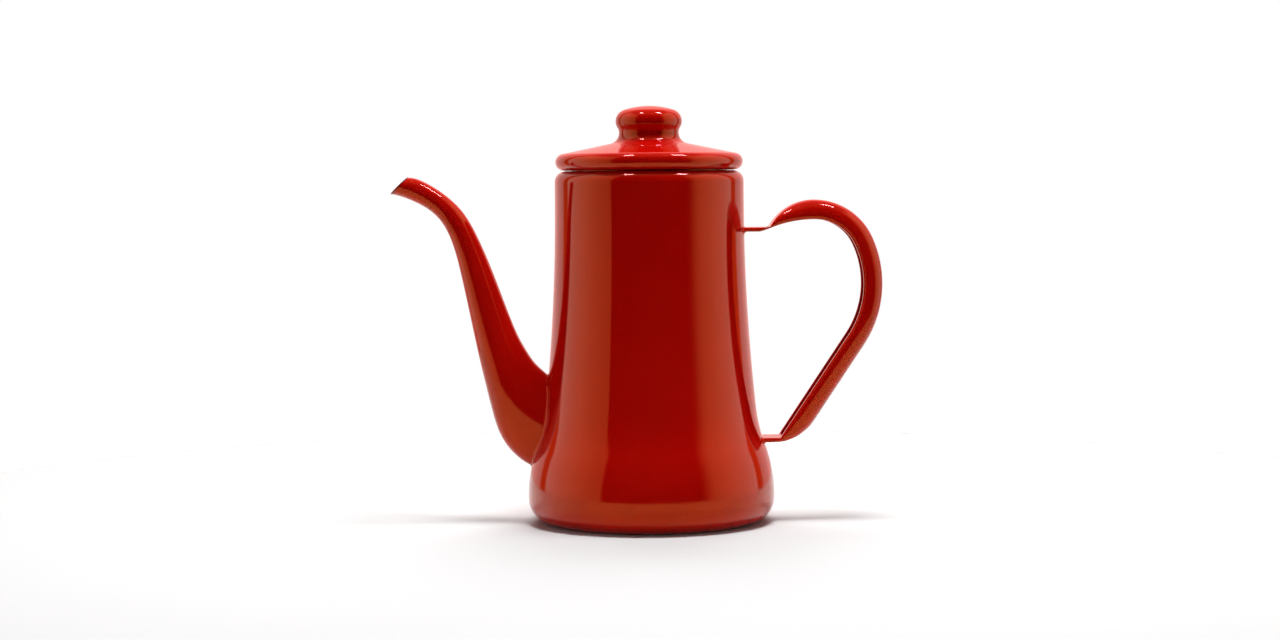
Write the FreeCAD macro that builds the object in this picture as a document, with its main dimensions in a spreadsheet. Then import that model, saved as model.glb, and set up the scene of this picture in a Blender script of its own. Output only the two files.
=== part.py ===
"""Enamelled steel coffee pot with a gooseneck spout, a strap handle and a loose lid.

Millimetres.  +Z is up, the origin is the middle of the base on the surface it stands on,
+X points to the handle and -X to the spout.  The pot is mirror-symmetric about the XZ plane.
"""
import FreeCAD, Part
import math
import os
from types import SimpleNamespace

import Sketcher
from FreeCAD import Placement, Rotation, Vector

SIZES = {
    # drum and base
    "drum_wall": 1.0,
    "drum_height": 163.5,
    "hip_radius": 57.5,           # widest outer radius, where the base is welded on
    "weld_height": 12.5,
    "base_corner": 11.5,          # outer radius of the rounded lower corner
    "hip_curve": 66.0,            # convex curve above the weld
    "waist_curve": 66.0,          # concave curve that turns the flare into the flank
    "waist_height": 45.0,         # the flank's concave sweep runs from here up to the upright band
    "flank_share": 0.452,         # part of the flare from upper to hip radius that the sweep takes
    "upright_band": 8.5,          # upright stretch between the flank and the shoulder
    "upper_radius": 43.9,
    "shoulder_curve": 5.0,
    "rim_land": 0.6,              # flat ring on top, between the shoulder and the mouth's lip
    "mouth_lip": 1.5,             # outer radius of the turned-down mouth edge
    "mouth_depth": 5.0,
    # strainer punched in the drum behind the spout
    "strainer_hole": 4.0,
    "strainer_pitch": 6.0,
    "strainer_centre": 50.0,
    # spout
    "spout_wall": 1.2,
    "spout_end_share": 0.7,       # radius of a section's two ends over its half width
    "spout_overrun": 3.0,         # how far the bore is carried on past the tip
    # handle
    "strap_width": 19.0,
    "strap_depth": 9.1,
    "strap_wall": 1.2,
    "strap_corner": 6.5,
    "strap_roll": 1.8,            # outer radius of the rolled-in edges
    "strap_lip": 2.8,             # how far the rolled-in edges reach inwards
    "tab_thick": 2.0,
    "tab_lap": 2.5,               # how far the upper tab runs on under the start of the channel
    "tab_low": 37.3,              # underside of the lower tab
    "tab_drop": 26.5,             # from the drum's top down to the upper tab's top
    "crown_rise": 12.6,           # from the upper tab's top up to the crown of the grip
    "crown_curve": 29.8,          # curve of the grip outside its crown
    "crown_inner_curve": 23.2,    # curve of the grip between the crown and the upper tab
    "grip_reach": 108.0,          # outermost point of the grip from the pot's axis
    "grip_drop": 39.0,            # from the crown down to that point
    "grip_curve": 52.0,
    "heel_curve": 21.0,
    "heel_out": 0.9,              # where the heel starts, outside the hip radius
    "edge_curve": 55.0,           # curve of the strap's edges beneath the crown
    "edge_angle": 20.0,           # slope of those edges where they meet the upper tab, degrees
    # lid
    "lid_wall": 1.0,
    "lid_gap": 0.3,               # air between the rolled rim and the drum's shoulder
    "lid_setback": 0.4,           # how far the rolled rim stays inside the drum's upper radius
    "rim_roll": 3.9,              # outer radius of the rolled rim
    "lid_slope": 11.6,            # degrees
    "skirt_gap": 0.6,             # air between the skirt and the mouth
    "skirt_wall": 1.0,
    "skirt_depth": 10.0,          # how far the skirt reaches below the drum's top
    "skirt_flange": 5.0,
    # knob, welded to the lid's collar at its waist
    "knob_waist": 13.85,
    "knob_foot_curve": 5.3,
    "knob_neck_curve": 3.8,
    "knob_radius": 15.4,
    "knob_corner": 5.6,
    "knob_rise": 12.3,            # from the waist to the top
}

# Sections of the spout from inside the drum to the tip.  Each row gives where the section meets the
# lower edge and the upper edge in the side view, as the distance outside the hip radius and then the
# height, and last its half width.
SPOUT_SECTIONS = (
    (-13.5, 21.1, -15.0, 64.3, 11.6),
    (-4.0, 25.3, -9.5, 68.8, 11.5),
    (3.0, 29.1, -5.2, 72.8, 11.3),
    (10.9, 37.5, -2.2, 76.3, 11.1),
    (16.1, 50.6, 1.2, 81.7, 10.7),
    (19.0, 62.6, 3.6, 86.1, 10.1),
    (22.1, 76.1, 5.8, 91.0, 9.2),
    (25.8, 93.9, 9.2, 99.7, 8.1),
    (30.0, 114.2, 16.0, 118.0, 6.9),
    (34.0, 129.8, 22.6, 133.5, 5.8),
    (39.4, 140.8, 30.5, 146.5, 5.2),
    (48.3, 148.3, 42.3, 156.4, 5.0),
    (55.4, 151.6, 48.8, 159.9, 5.1),
    (62.8, 153.6, 54.9, 161.2, 5.25),
)
SECTION_FIELDS = ("low_out", "low_height", "up_out", "up_height", "half_width")
for number, section in enumerate(SPOUT_SECTIONS):
    for field, value in zip(SECTION_FIELDS, section):
        SIZES[f"spout_{field}_{number}"] = value
size = SimpleNamespace(**SIZES)

doc = FreeCAD.newDocument("coffee_pot")
sheet = doc.addObject("Spreadsheet::Sheet", "Sizes")
for row, (alias, value) in enumerate(SIZES.items(), start=1):
    sheet.set(f"A{row}", alias)
    sheet.set(f"B{row}", str(value))
    sheet.setAlias(f"B{row}", alias)
doc.recompute()

ORIGIN = (-1, 1)


# ---------------------------------------------------------------- sketch helpers

def point(x, y):
    return Vector(x, y, 0)


def new_body(label):
    body = doc.addObject("PartDesign::Body", label)
    body.Label = label
    return body


def new_sketch(body, name, role="XZ_Plane", offset=None):
    """A sketch on one of the body's own origin planes."""
    sketch = body.newObject("Sketcher::SketchObject", name)
    plane = next(item for item in body.Origin.OriginFeatures if item.Role == role)
    sketch.AttachmentSupport = (plane, "")
    sketch.MapMode = "FlatFace"
    if offset is not None:
        sketch.AttachmentOffset = offset
    return sketch


def bind(sketch, kind, references, expression):
    """Add a driving dimension to the sketch and tie it to the sheet."""
    if kind in ("Radius", "Diameter"):
        value = sketch.Geometry[references[0]].Radius * (2 if kind == "Diameter" else 1)
    elif kind == "Angle":
        line = sketch.Geometry[references[-1]]
        value = abs(math.atan2(line.EndPoint.y - line.StartPoint.y, line.EndPoint.x - line.StartPoint.x))
    else:
        gap = sketch.getPoint(*references[2:]) - sketch.getPoint(*references[:2])
        value = {"DistanceX": gap.x, "DistanceY": gap.y, "Distance": gap.Length}[kind]
        if value < 0:
            references = references[2:] + references[:2]
            value = -value
    index = sketch.addConstraint(Sketcher.Constraint(kind, *references, value))
    sketch.setExpression(f"Constraints[{index}]", expression)


def bind_x(sketch, where, expression):
    bind(sketch, "DistanceX", (*ORIGIN, *where), expression)


def bind_y(sketch, where, expression):
    bind(sketch, "DistanceY", (*ORIGIN, *where), expression)


def heading(leg, at_end):
    """Direction of travel along a leg of an outline, at its start or its end."""
    start, centre, end, turn = leg
    if centre is None:
        return (end - start).normalize()
    arm = (end if at_end else start) - centre
    return Vector(-arm.y * turn, arm.x * turn, 0).normalize()


def trace(sketch, start, steps, closed=True):
    """Draw a chain of lines and arcs; neighbours that run on smoothly are made tangent.

    A step is (end,) for a line or (end, centre, turn) for an arc, turn +1 anticlockwise.
    Returns for each leg (geometry index, its first point, its last point).
    """
    legs = []
    here = start
    for step in steps:
        end = step[0]
        centre, turn = (step[1], step[2]) if len(step) == 3 else (None, 0)
        legs.append((here, centre, end, turn))
        here = end
    handles = []
    for begin, centre, end, turn in legs:
        if centre is None:
            index = sketch.addGeometry(Part.LineSegment(begin, end))
            handles.append((index, (index, 1), (index, 2)))
            if abs(begin.x - end.x) < 1e-7:
                sketch.addConstraint(Sketcher.Constraint("Vertical", index))
            elif abs(begin.y - end.y) < 1e-7:
                sketch.addConstraint(Sketcher.Constraint("Horizontal", index))
            continue
        first, last = (begin, end) if turn > 0 else (end, begin)
        angles = [math.atan2(p.y - centre.y, p.x - centre.x) for p in (first, last)]
        if angles[1] < angles[0]:
            angles[1] += 2 * math.pi
        circle = Part.Circle(centre, Vector(0, 0, 1), (begin - centre).Length)
        index = sketch.addGeometry(Part.ArcOfCircle(circle, *angles))
        ends = ((index, 1), (index, 2)) if turn > 0 else ((index, 2), (index, 1))
        handles.append((index, *ends))
    count = len(legs)
    for i in range(count if closed else count - 1):
        after = (i + 1) % count
        smooth = heading(legs[i], True).dot(heading(legs[after], False)) > 1 - 1e-9
        kind = "Tangent" if smooth else "Coincident"
        sketch.addConstraint(Sketcher.Constraint(kind, *handles[i][2], *handles[after][1]))
    return handles


def beside(start, end, centre, turn, gap):
    """The ends of a leg moved sideways by a gap, to the left of the way it runs when positive."""
    if centre is None:
        run = (end - start).normalize()
        shift = Vector(-run.y, run.x, 0) * gap
        return start + shift, end + shift
    shrink = 1 - gap * turn / (start - centre).Length
    return centre + (start - centre) * shrink, centre + (end - centre) * shrink


def trace_sheet(sketch, start, steps, name, side=1):
    """Draw a smooth open chain and its parallel one wall away, capped at both ends.

    The copy lies on the left of the way the chain runs, or on the right when side is -1.
    Returns the chain's legs, the copy's legs in the same order, and the caps at the start and the end.
    """
    wall = side * getattr(size, name)
    copies = []
    here = start
    for step in steps:
        centre, turn = (step[1], step[2]) if len(step) == 3 else (None, 0)
        copies.append((*beside(here, step[0], centre, turn, wall), centre, turn))
        here = step[0]
    back = [(begin,) if centre is None else (begin, centre, -turn)
            for begin, end, centre, turn in reversed(copies)]
    legs = trace(sketch, start, [*steps, (copies[-1][1],), *back, (start,)])
    count = len(steps)
    chain, end_cap, copy, start_cap = legs[:count], legs[count], legs[count + 1:-1][::-1], legs[-1]
    for step, leg, twin in zip(steps, chain, copy):
        if len(step) == 3:
            sketch.addConstraint(Sketcher.Constraint("Coincident", leg[0], 3, twin[0], 3))
    bind(sketch, "Distance", (*start_cap[1], *start_cap[2]), f"Sizes.{name}")
    return chain, copy, start_cap, end_cap


def on_axis(sketch, where, upright=True):
    """Keep a point on the sketch's upright axis, or on its level axis."""
    sketch.addConstraint(Sketcher.Constraint("PointOnObject", *where, -2 if upright else -1))


def revolve(body, sketch, name):
    feature = body.newObject("PartDesign::Revolution", name)
    feature.Profile = sketch
    feature.ReferenceAxis = (sketch, ["V_Axis"])
    feature.Angle = 360
    return feature


# ---------------------------------------------------------------- drum and base

STRAINER_ROWS = 3    # rows of holes above and below the middle row

MOUTH = "(Sizes.upper_radius - Sizes.shoulder_curve - Sizes.rim_land - Sizes.mouth_lip)"
FLANK_LEAN = "(Sizes.flank_share * (Sizes.hip_radius - Sizes.upper_radius))"
FLANK_RISE = "(Sizes.drum_height - Sizes.shoulder_curve - Sizes.upright_band - Sizes.waist_height)"
FLANK_CURVE = f"(({FLANK_LEAN}^2 + {FLANK_RISE}^2) / (2 * {FLANK_LEAN}))"

mouth_radius = size.upper_radius - size.shoulder_curve - size.rim_land - size.mouth_lip


def circles_meet(centre_a, radius_a, centre_b, radius_b):
    """The upper crossing of two circles, the second lying to the right of the first."""
    gap = centre_b - centre_a
    along = (gap.Length ** 2 + radius_a ** 2 - radius_b ** 2) / (2 * gap.Length)
    aside = math.sqrt(radius_a ** 2 - along ** 2)
    unit = Vector(gap).normalize()
    return centre_a + unit * along + Vector(-unit.y, unit.x, 0) * aside


def drum_chain():
    """The drum's outer line from the weld up to the turned-down mouth, as a start and its steps."""
    top = size.drum_height
    hip_centre = point(size.hip_radius - size.hip_curve, size.weld_height)
    flank_top = top - size.shoulder_curve - size.upright_band
    lean = size.flank_share * (size.hip_radius - size.upper_radius)
    flank_curve = (lean ** 2 + (flank_top - size.waist_height) ** 2) / (2 * lean)
    flank_centre = point(size.upper_radius + flank_curve, flank_top)
    waist_centre = circles_meet(hip_centre, size.hip_curve + size.waist_curve,
                                flank_centre, flank_curve - size.waist_curve)
    hip_end = hip_centre + (waist_centre - hip_centre).normalize() * size.hip_curve
    waist_end = flank_centre + (waist_centre - flank_centre).normalize() * flank_curve
    shoulder = point(size.upper_radius - size.shoulder_curve, top - size.shoulder_curve)
    lip = point(mouth_radius + size.mouth_lip, top - size.mouth_lip)
    return point(size.hip_radius, size.weld_height), [
        (hip_end, hip_centre, 1),
        (waist_end, waist_centre, -1),
        (point(size.upper_radius, flank_top), flank_centre, -1),
        (point(size.upper_radius, shoulder.y),),
        (point(shoulder.x, top), shoulder, 1),
        (point(lip.x, top),),
        (point(mouth_radius, lip.y), lip, 1),
        (point(mouth_radius, top - size.mouth_depth),),
    ]


def bind_drum(sketch, legs):
    hip, waist, flank, upper, shoulder, rim, lip, neck = legs
    sketch.addConstraint(Sketcher.Constraint("Horizontal", hip[0], 3, hip[0], 1))
    bind_x(sketch, hip[1], "Sizes.hip_radius")
    bind_y(sketch, hip[1], "Sizes.weld_height")
    bind(sketch, "Radius", (hip[0],), "Sizes.hip_curve")
    bind(sketch, "Radius", (waist[0],), "Sizes.waist_curve")
    bind(sketch, "Radius", (flank[0],), FLANK_CURVE)
    bind(sketch, "DistanceY", (*upper[1], *upper[2]), "Sizes.upright_band")
    bind_x(sketch, upper[1], "Sizes.upper_radius")
    bind(sketch, "Radius", (shoulder[0],), "Sizes.shoulder_curve")
    bind_y(sketch, rim[1], "Sizes.drum_height")
    bind(sketch, "Radius", (lip[0],), "Sizes.mouth_lip")
    bind_x(sketch, neck[1], MOUTH)
    bind_y(sketch, neck[2], "Sizes.drum_height - Sizes.mouth_depth")


def make_body_shell():
    body = new_body("body_shell")
    section = new_sketch(body, "drum_section")
    bind_drum(section, trace_sheet(section, *drum_chain(), "drum_wall")[0])
    revolve(body, section, "drum")
    punch_strainer(body)
    return body


def punch_strainer(body):
    """Staggered round holes through the drum where the spout sits over it."""
    sketch = new_sketch(body, "strainer", "YZ_Plane")
    row_step = math.sqrt(3) / 2 * size.strainer_pitch
    for row in range(-STRAINER_ROWS, STRAINER_ROWS + 1):
        for column in (-0.5, 0.5) if row % 2 else (-1, 0, 1):
            centre = point(column * size.strainer_pitch,
                           size.strainer_centre + row * row_step)
            hole = sketch.addGeometry(Part.Circle(centre, Vector(0, 0, 1), size.strainer_hole / 2))
            bind(sketch, "Diameter", (hole,), "Sizes.strainer_hole")
            if column:
                bind_x(sketch, (hole, 3), f"{abs(column)} * Sizes.strainer_pitch")
            else:
                on_axis(sketch, (hole, 3))
            bind_y(sketch, (hole, 3), f"Sizes.strainer_centre + {row} * sqrt(3) / 2 * Sizes.strainer_pitch")
    holes = body.newObject("PartDesign::Pocket", "strainer_holes")
    holes.Profile = sketch
    holes.Type = "ThroughAll"


def make_base_dish():
    """The pressed bottom: flat disc, rounded corner and a short upright edge up to the weld."""
    body = new_body("base_dish")
    section = new_sketch(body, "base_section")
    corner = point(size.hip_radius - size.base_corner, size.base_corner)
    disc, corner_arc, edge = trace_sheet(section, point(0, 0), [
        (point(corner.x, 0),),
        (point(size.hip_radius, corner.y), corner, 1),
        (point(size.hip_radius, size.weld_height),),
    ], "drum_wall")[0]
    section.addConstraint(Sketcher.Constraint("Coincident", *disc[1], *ORIGIN))
    bind(section, "Radius", (corner_arc[0],), "Sizes.base_corner")
    bind_x(section, edge[1], "Sizes.hip_radius")
    bind_y(section, edge[2], "Sizes.weld_height")
    revolve(body, section, "base")
    return body


# ---------------------------------------------------------------- lid and knob

RIM_X = "(Sizes.upper_radius - Sizes.lid_setback - Sizes.rim_roll)"
RIM_Z = "(Sizes.drum_height + Sizes.lid_gap + Sizes.rim_roll)"
KNOB_WELD = (f"{RIM_Z} + (Sizes.rim_roll + Sizes.knob_foot_curve) / cos(Sizes.lid_slope)"
             f" + ({RIM_X} - Sizes.knob_waist - Sizes.knob_foot_curve) * tan(Sizes.lid_slope)")
SKIRT_X = f"({MOUTH} - Sizes.skirt_gap)"
SKIRT_TOP = (f"{RIM_Z} + (Sizes.rim_roll - Sizes.lid_wall) / cos(Sizes.lid_slope)"
             f" + ({RIM_X} - {SKIRT_X}) * tan(Sizes.lid_slope)")

rim_centre = point(size.upper_radius - size.lid_setback - size.rim_roll,
                   size.drum_height + size.lid_gap + size.rim_roll)
slope = math.radians(size.lid_slope)
cone_up = Vector(math.sin(slope), math.cos(slope), 0)      # square to the lid's cone
cone_out = Vector(math.cos(slope), -math.sin(slope), 0)    # down along the cone
foot_x = size.knob_waist + size.knob_foot_curve
knob_weld = (rim_centre.y + (size.rim_roll + size.knob_foot_curve) / math.cos(slope)
             + (rim_centre.x - foot_x) * math.tan(slope))


def make_lid_dome():
    """Coned sheet with a rolled rim outside and an upturned collar that carries the knob."""
    body = new_body("lid_dome")
    sketch = new_sketch(body, "dome_section")
    foot = point(foot_x, knob_weld)
    chain, _, collar, cap = trace_sheet(sketch, point(size.knob_waist, knob_weld), [
        (foot - cone_up * size.knob_foot_curve, foot, 1),
        (rim_centre + cone_up * size.rim_roll,),
        (rim_centre - point(0, size.rim_roll), rim_centre, -1),
    ], "lid_wall", -1)
    foot_arc, cone, roll = chain
    sketch.addConstraint(Sketcher.Constraint("PointOnObject", roll[0], 3, cap[0]))
    sketch.addConstraint(Sketcher.Constraint("PointOnObject", foot_arc[0], 3, collar[0]))
    bind(sketch, "Radius", (foot_arc[0],), "Sizes.knob_foot_curve")
    bind(sketch, "Radius", (roll[0],), "Sizes.rim_roll")
    bind_x(sketch, (roll[0], 3), RIM_X)
    bind_y(sketch, (roll[0], 3), RIM_Z)
    bind_x(sketch, (foot_arc[0], 3), "Sizes.knob_waist + Sizes.knob_foot_curve")
    bind_y(sketch, (foot_arc[0], 3), KNOB_WELD)
    revolve(body, sketch, "dome")
    return body


def make_lid_skirt():
    """Locating ring: an upright wall that drops into the mouth and a flange welded under the cone."""
    body = new_body("lid_skirt")
    sketch = new_sketch(body, "skirt_section")
    outer = mouth_radius - size.skirt_gap
    top = point(outer, rim_centre.y + (size.rim_roll - size.lid_wall) / math.cos(slope)
                + (rim_centre.x - outer) * math.tan(slope))
    bottom = size.drum_height - size.skirt_depth
    flange_top = top - cone_out * size.skirt_flange
    flange_under = flange_top - cone_up * size.skirt_wall
    inner = outer - size.skirt_wall
    bend = flange_under + cone_out * ((inner - flange_under.x) / cone_out.x)
    legs = trace(sketch, point(outer, bottom), [
        (top,),
        (flange_top,),
        (flange_under,),
        (bend,),
        (point(inner, bottom),),
        (point(outer, bottom),),
    ])
    wall, flange, edge, under, wall_inside, foot = legs
    sketch.addConstraint(Sketcher.Constraint("Perpendicular", flange[0], edge[0]))
    sketch.addConstraint(Sketcher.Constraint("Parallel", flange[0], under[0]))
    bind_x(sketch, wall[1], SKIRT_X)
    bind_y(sketch, wall[1], "Sizes.drum_height - Sizes.skirt_depth")
    bind_y(sketch, wall[2], SKIRT_TOP)
    bind(sketch, "DistanceX", (*flange[2], *flange[1]), "Sizes.skirt_flange * cos(Sizes.lid_slope)")
    bind(sketch, "DistanceY", (*flange[1], *flange[2]), "Sizes.skirt_flange * sin(Sizes.lid_slope)")
    bind(sketch, "Distance", (*edge[1], *edge[2]), "Sizes.skirt_wall")
    bind(sketch, "DistanceX", (*foot[1], *foot[2]), "Sizes.skirt_wall")
    revolve(body, sketch, "skirt")
    return body


def make_knob_shell():
    """Hollow spun knob: a concave neck from the weld at the waist, a round head and a low crown."""
    body = new_body("knob_shell")
    sketch = new_sketch(body, "knob_section")
    neck = point(size.knob_waist + size.knob_neck_curve, knob_weld)
    head_x = size.knob_radius - size.knob_corner
    reach = size.knob_neck_curve + size.knob_corner
    head = point(head_x, knob_weld + math.sqrt(reach ** 2 - (neck.x - head_x) ** 2))
    top = knob_weld + size.knob_rise
    depth = top - head.y
    crown_curve = (head_x ** 2 + depth ** 2 - size.knob_corner ** 2) / (2 * (depth - size.knob_corner))
    crown = point(0, top - crown_curve)
    to_neck = (neck - head).normalize()
    from_crown = (head - crown).normalize()
    chain, _, weld, axis = trace_sheet(sketch, point(size.knob_waist, knob_weld), [
        (head + to_neck * size.knob_corner, neck, -1),
        (crown + from_crown * crown_curve, head, 1),
        (point(0, top), crown, 1),
    ], "lid_wall")
    neck_arc, head_arc, crown_arc = chain
    on_axis(sketch, axis[1])
    on_axis(sketch, (crown_arc[0], 3))
    sketch.addConstraint(Sketcher.Constraint("PointOnObject", neck_arc[0], 3, weld[0]))
    bind_y(sketch, neck_arc[1], KNOB_WELD)
    bind_x(sketch, neck_arc[1], "Sizes.knob_waist")
    bind(sketch, "Radius", (neck_arc[0],), "Sizes.knob_neck_curve")
    bind(sketch, "Radius", (head_arc[0],), "Sizes.knob_corner")
    bind_x(sketch, (head_arc[0], 3), "Sizes.knob_radius - Sizes.knob_corner")
    bind_y(sketch, axis[1], f"{KNOB_WELD} + Sizes.knob_rise")
    revolve(body, sketch, "knob")
    return body


# ---------------------------------------------------------------- spout

def trim_to_drum(body, name):
    """Cut a piece to seat on the drum's outer surface."""
    outline = new_sketch(body, name)
    start, steps = drum_chain()
    end = steps[-1][0]
    legs = trace(outline, start, [*steps, (point(0, end.y),), (point(0, start.y),), (start,)])
    on_axis(outline, legs[-2][1])
    bind_drum(outline, legs[:-3])
    groove = body.newObject("PartDesign::Groove", f"{name}_cut")
    groove.Profile = outline
    groove.ReferenceAxis = (outline, ["V_Axis"])
    groove.Angle = 360


def spout_section(body, name, number, overrun="0"):
    """An empty sketch standing across the spout, its local x running from the lower to the upper edge."""
    low_out, low_height, up_out, up_height = (f"Sizes.spout_{field}_{number}" for field in SECTION_FIELDS[:4])
    sketch = new_sketch(body, name, "XY_Plane", Placement(Vector(), Rotation(Vector(0, -1, 0), 45)))
    sketch.setExpression("AttachmentOffset.Base.x",
                         f"-(Sizes.hip_radius + ({low_out} + {up_out}) / 2) - {overrun}")
    sketch.setExpression("AttachmentOffset.Base.z", f"({low_height} + {up_height}) / 2")
    sketch.setExpression("AttachmentOffset.Rotation.Angle",
                         f"atan2({up_height} - {low_height}; {low_out} - {up_out})")
    return sketch


def oval_sizes(number):
    """Half depth, half width, end radius and side radius of a section."""
    low_out, low_height, up_out, up_height, width = SPOUT_SECTIONS[number]
    depth = math.hypot(low_out - up_out, up_height - low_height) / 2
    end = size.spout_end_share * width
    side = ((depth - end) ** 2 + width ** 2 - end ** 2) / (2 * (width - end))
    return depth, width, end, side


def oval_expressions(number):
    """Place of the end arcs' centres, end radius and side radius of a section, tied to the sheet."""
    low_out, low_height, up_out, up_height, width = (
        f"Sizes.spout_{field}_{number}" for field in SECTION_FIELDS)
    end = f"(Sizes.spout_end_share * {width})"
    place = f"(sqrt(({low_out} - {up_out})^2 + ({up_height} - {low_height})^2) / 2 - {end})"
    side = f"(({place}^2 + {width}^2 - {end}^2) / (2 * ({width} - {end})))"
    return place, end, side


def bind_oval(sketch, ends, sides, number, wall="0"):
    """Size the end arcs and side arcs of an oval drawn one wall inside a section's outline."""
    place, end, side = oval_expressions(number)
    for arc in ends:
        on_axis(sketch, (arc[0], 3), upright=False)
        bind(sketch, "Radius", (arc[0],), f"{end} - {wall}")
        bind_x(sketch, (arc[0], 3), place)
    for arc in sides:
        bind(sketch, "Radius", (arc[0],), f"{side} - {wall}")


def outside_half(body, number):
    """Half an oval closed along the seam: two end arcs and a flatter side arc, all tangent."""
    sketch = spout_section(body, f"spout_section_{number}", number)
    depth, width, end, side = oval_sizes(number)
    ends = [point(end - depth, 0), point(depth - end, 0)]
    centre = point(0, side - width)
    meets = [here + (here - centre).normalize() * end for here in ends]
    low_end, flat_side, high_end, seam = trace(sketch, point(-depth, 0), [
        (meets[0], ends[0], 1),
        (meets[1], centre, 1),
        (point(depth, 0), ends[1], 1),
        (point(-depth, 0),),
    ])
    on_axis(sketch, seam[1], upright=False)
    bind_oval(sketch, (low_end, high_end), (flat_side,), number)
    return sketch


def bore_oval(body, name, number, overrun="0"):
    """The whole oval of the passage, one wall inside the section's outline."""
    sketch = spout_section(body, name, number, overrun)
    depth, width, end, side = oval_sizes(number)
    low, high = point(end - depth, 0), point(depth - end, 0)
    near, far = point(0, side - width), point(0, width - side)

    def meet(here, centre):
        return here + (here - centre).normalize() * (end - size.spout_wall)

    near_side, high_end, far_side, low_end = trace(sketch, meet(low, near), [
        (meet(high, near), near, 1),
        (meet(high, far), high, 1),
        (meet(low, far), far, 1),
        (meet(low, near), low, 1),
    ])
    bind_oval(sketch, (low_end, high_end), (near_side, far_side), number, "Sizes.spout_wall")
    return sketch


def loft(body, kind, name, sections):
    feature = body.newObject(f"PartDesign::{kind}", name)
    feature.Profile = sections[0]
    feature.Sections = sections[1:]
    return feature


def make_spout_halves():
    """The gooseneck pressed as two mirrored halves that meet on the seam plane Y = 0."""
    body = new_body("spout_left_half")
    numbers = range(len(SPOUT_SECTIONS))
    loft(body, "AdditiveLoft", "spout_form", [outside_half(body, number) for number in numbers])
    bore = [bore_oval(body, f"bore_section_{number}", number) for number in numbers]
    bore.append(bore_oval(body, "bore_overrun", numbers[-1], "Sizes.spout_overrun"))
    loft(body, "SubtractiveLoft", "spout_passage", bore)
    trim_to_drum(body, "spout_seat")
    mirrored = doc.addObject("Part::Mirroring", "spout_right_half")
    mirrored.Label = "spout_right_half"
    mirrored.Source = body
    mirrored.Normal = Vector(0, 1, 0)
    return [body, mirrored]


# ---------------------------------------------------------------- handle

TAB_TOP = "(Sizes.drum_height - Sizes.tab_drop)"
CROWN = f"({TAB_TOP} + Sizes.crown_rise)"
CROWN_X = ("(Sizes.grip_reach - Sizes.grip_curve + sqrt((Sizes.grip_curve - Sizes.crown_curve)^2"
           " - (Sizes.crown_curve - Sizes.grip_drop)^2))")
TAB_MEET = (f"({CROWN_X} - sqrt(Sizes.crown_inner_curve^2"
            " - (Sizes.crown_inner_curve - Sizes.crown_rise)^2))")
LEG_UP = f"({CROWN} - Sizes.grip_drop - Sizes.tab_low - Sizes.heel_curve)"
LEG_OUT = "(Sizes.grip_reach - Sizes.grip_curve - Sizes.hip_radius - Sizes.heel_out)"
LEAN = (f"(acos((Sizes.heel_curve - Sizes.grip_curve) / sqrt({LEG_UP}^2 + {LEG_OUT}^2))"
        f" - atan2({LEG_UP}; {LEG_OUT}))")

tab_top = size.drum_height - size.tab_drop
crown = tab_top + size.crown_rise
heel_start = point(size.hip_radius + size.heel_out, size.tab_low)
heel_centre = heel_start + point(0, size.heel_curve)
grip_centre = point(size.grip_reach - size.grip_curve, crown - size.grip_drop)
crown_drop = grip_centre.y - (crown - size.crown_curve)
crown_centre = point(grip_centre.x + math.sqrt((size.grip_curve - size.crown_curve) ** 2 - crown_drop ** 2),
                     crown - size.crown_curve)
tab_meet = crown_centre.x - math.sqrt(size.crown_inner_curve ** 2
                                      - (size.crown_inner_curve - size.crown_rise) ** 2)
span = grip_centre - heel_centre
lean = math.acos((size.heel_curve - size.grip_curve) / span.Length) - math.atan2(span.y, span.x)
leg_out = point(math.cos(lean), -math.sin(lean))    # square to the straight leg, away from the pot


def grip_path(body):
    """The outline of the grip in the side view, from the heel round to the upper tab."""
    sketch = new_sketch(body, "grip_path")
    inner_centre = point(crown_centre.x, crown - size.crown_inner_curve)
    legs = trace(sketch, heel_start, [
        (heel_centre + leg_out * size.heel_curve, heel_centre, 1),
        (grip_centre + leg_out * size.grip_curve,),
        (grip_centre + (crown_centre - grip_centre).normalize() * size.grip_curve, grip_centre, 1),
        (point(crown_centre.x, crown), crown_centre, 1),
        (point(tab_meet, tab_top), inner_centre, 1),
    ], closed=False)
    heel, leg, grip, crown_arc, inner_arc = legs
    sketch.addConstraint(Sketcher.Constraint("Vertical", heel[0], 3, *heel[1]))
    sketch.addConstraint(Sketcher.Constraint("Vertical", crown_arc[0], 3, *crown_arc[2]))
    bind_x(sketch, heel[1], "Sizes.hip_radius + Sizes.heel_out")
    bind_y(sketch, heel[1], "Sizes.tab_low")
    bind(sketch, "Radius", (heel[0],), "Sizes.heel_curve")
    bind(sketch, "Radius", (grip[0],), "Sizes.grip_curve")
    bind_x(sketch, (grip[0], 3), "Sizes.grip_reach - Sizes.grip_curve")
    bind_y(sketch, (grip[0], 3), f"{CROWN} - Sizes.grip_drop")
    bind(sketch, "Radius", (crown_arc[0],), "Sizes.crown_curve")
    bind_y(sketch, crown_arc[2], CROWN)
    bind(sketch, "Radius", (inner_arc[0],), "Sizes.crown_inner_curve")
    bind_y(sketch, inner_arc[2], TAB_TOP)
    return sketch


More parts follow.
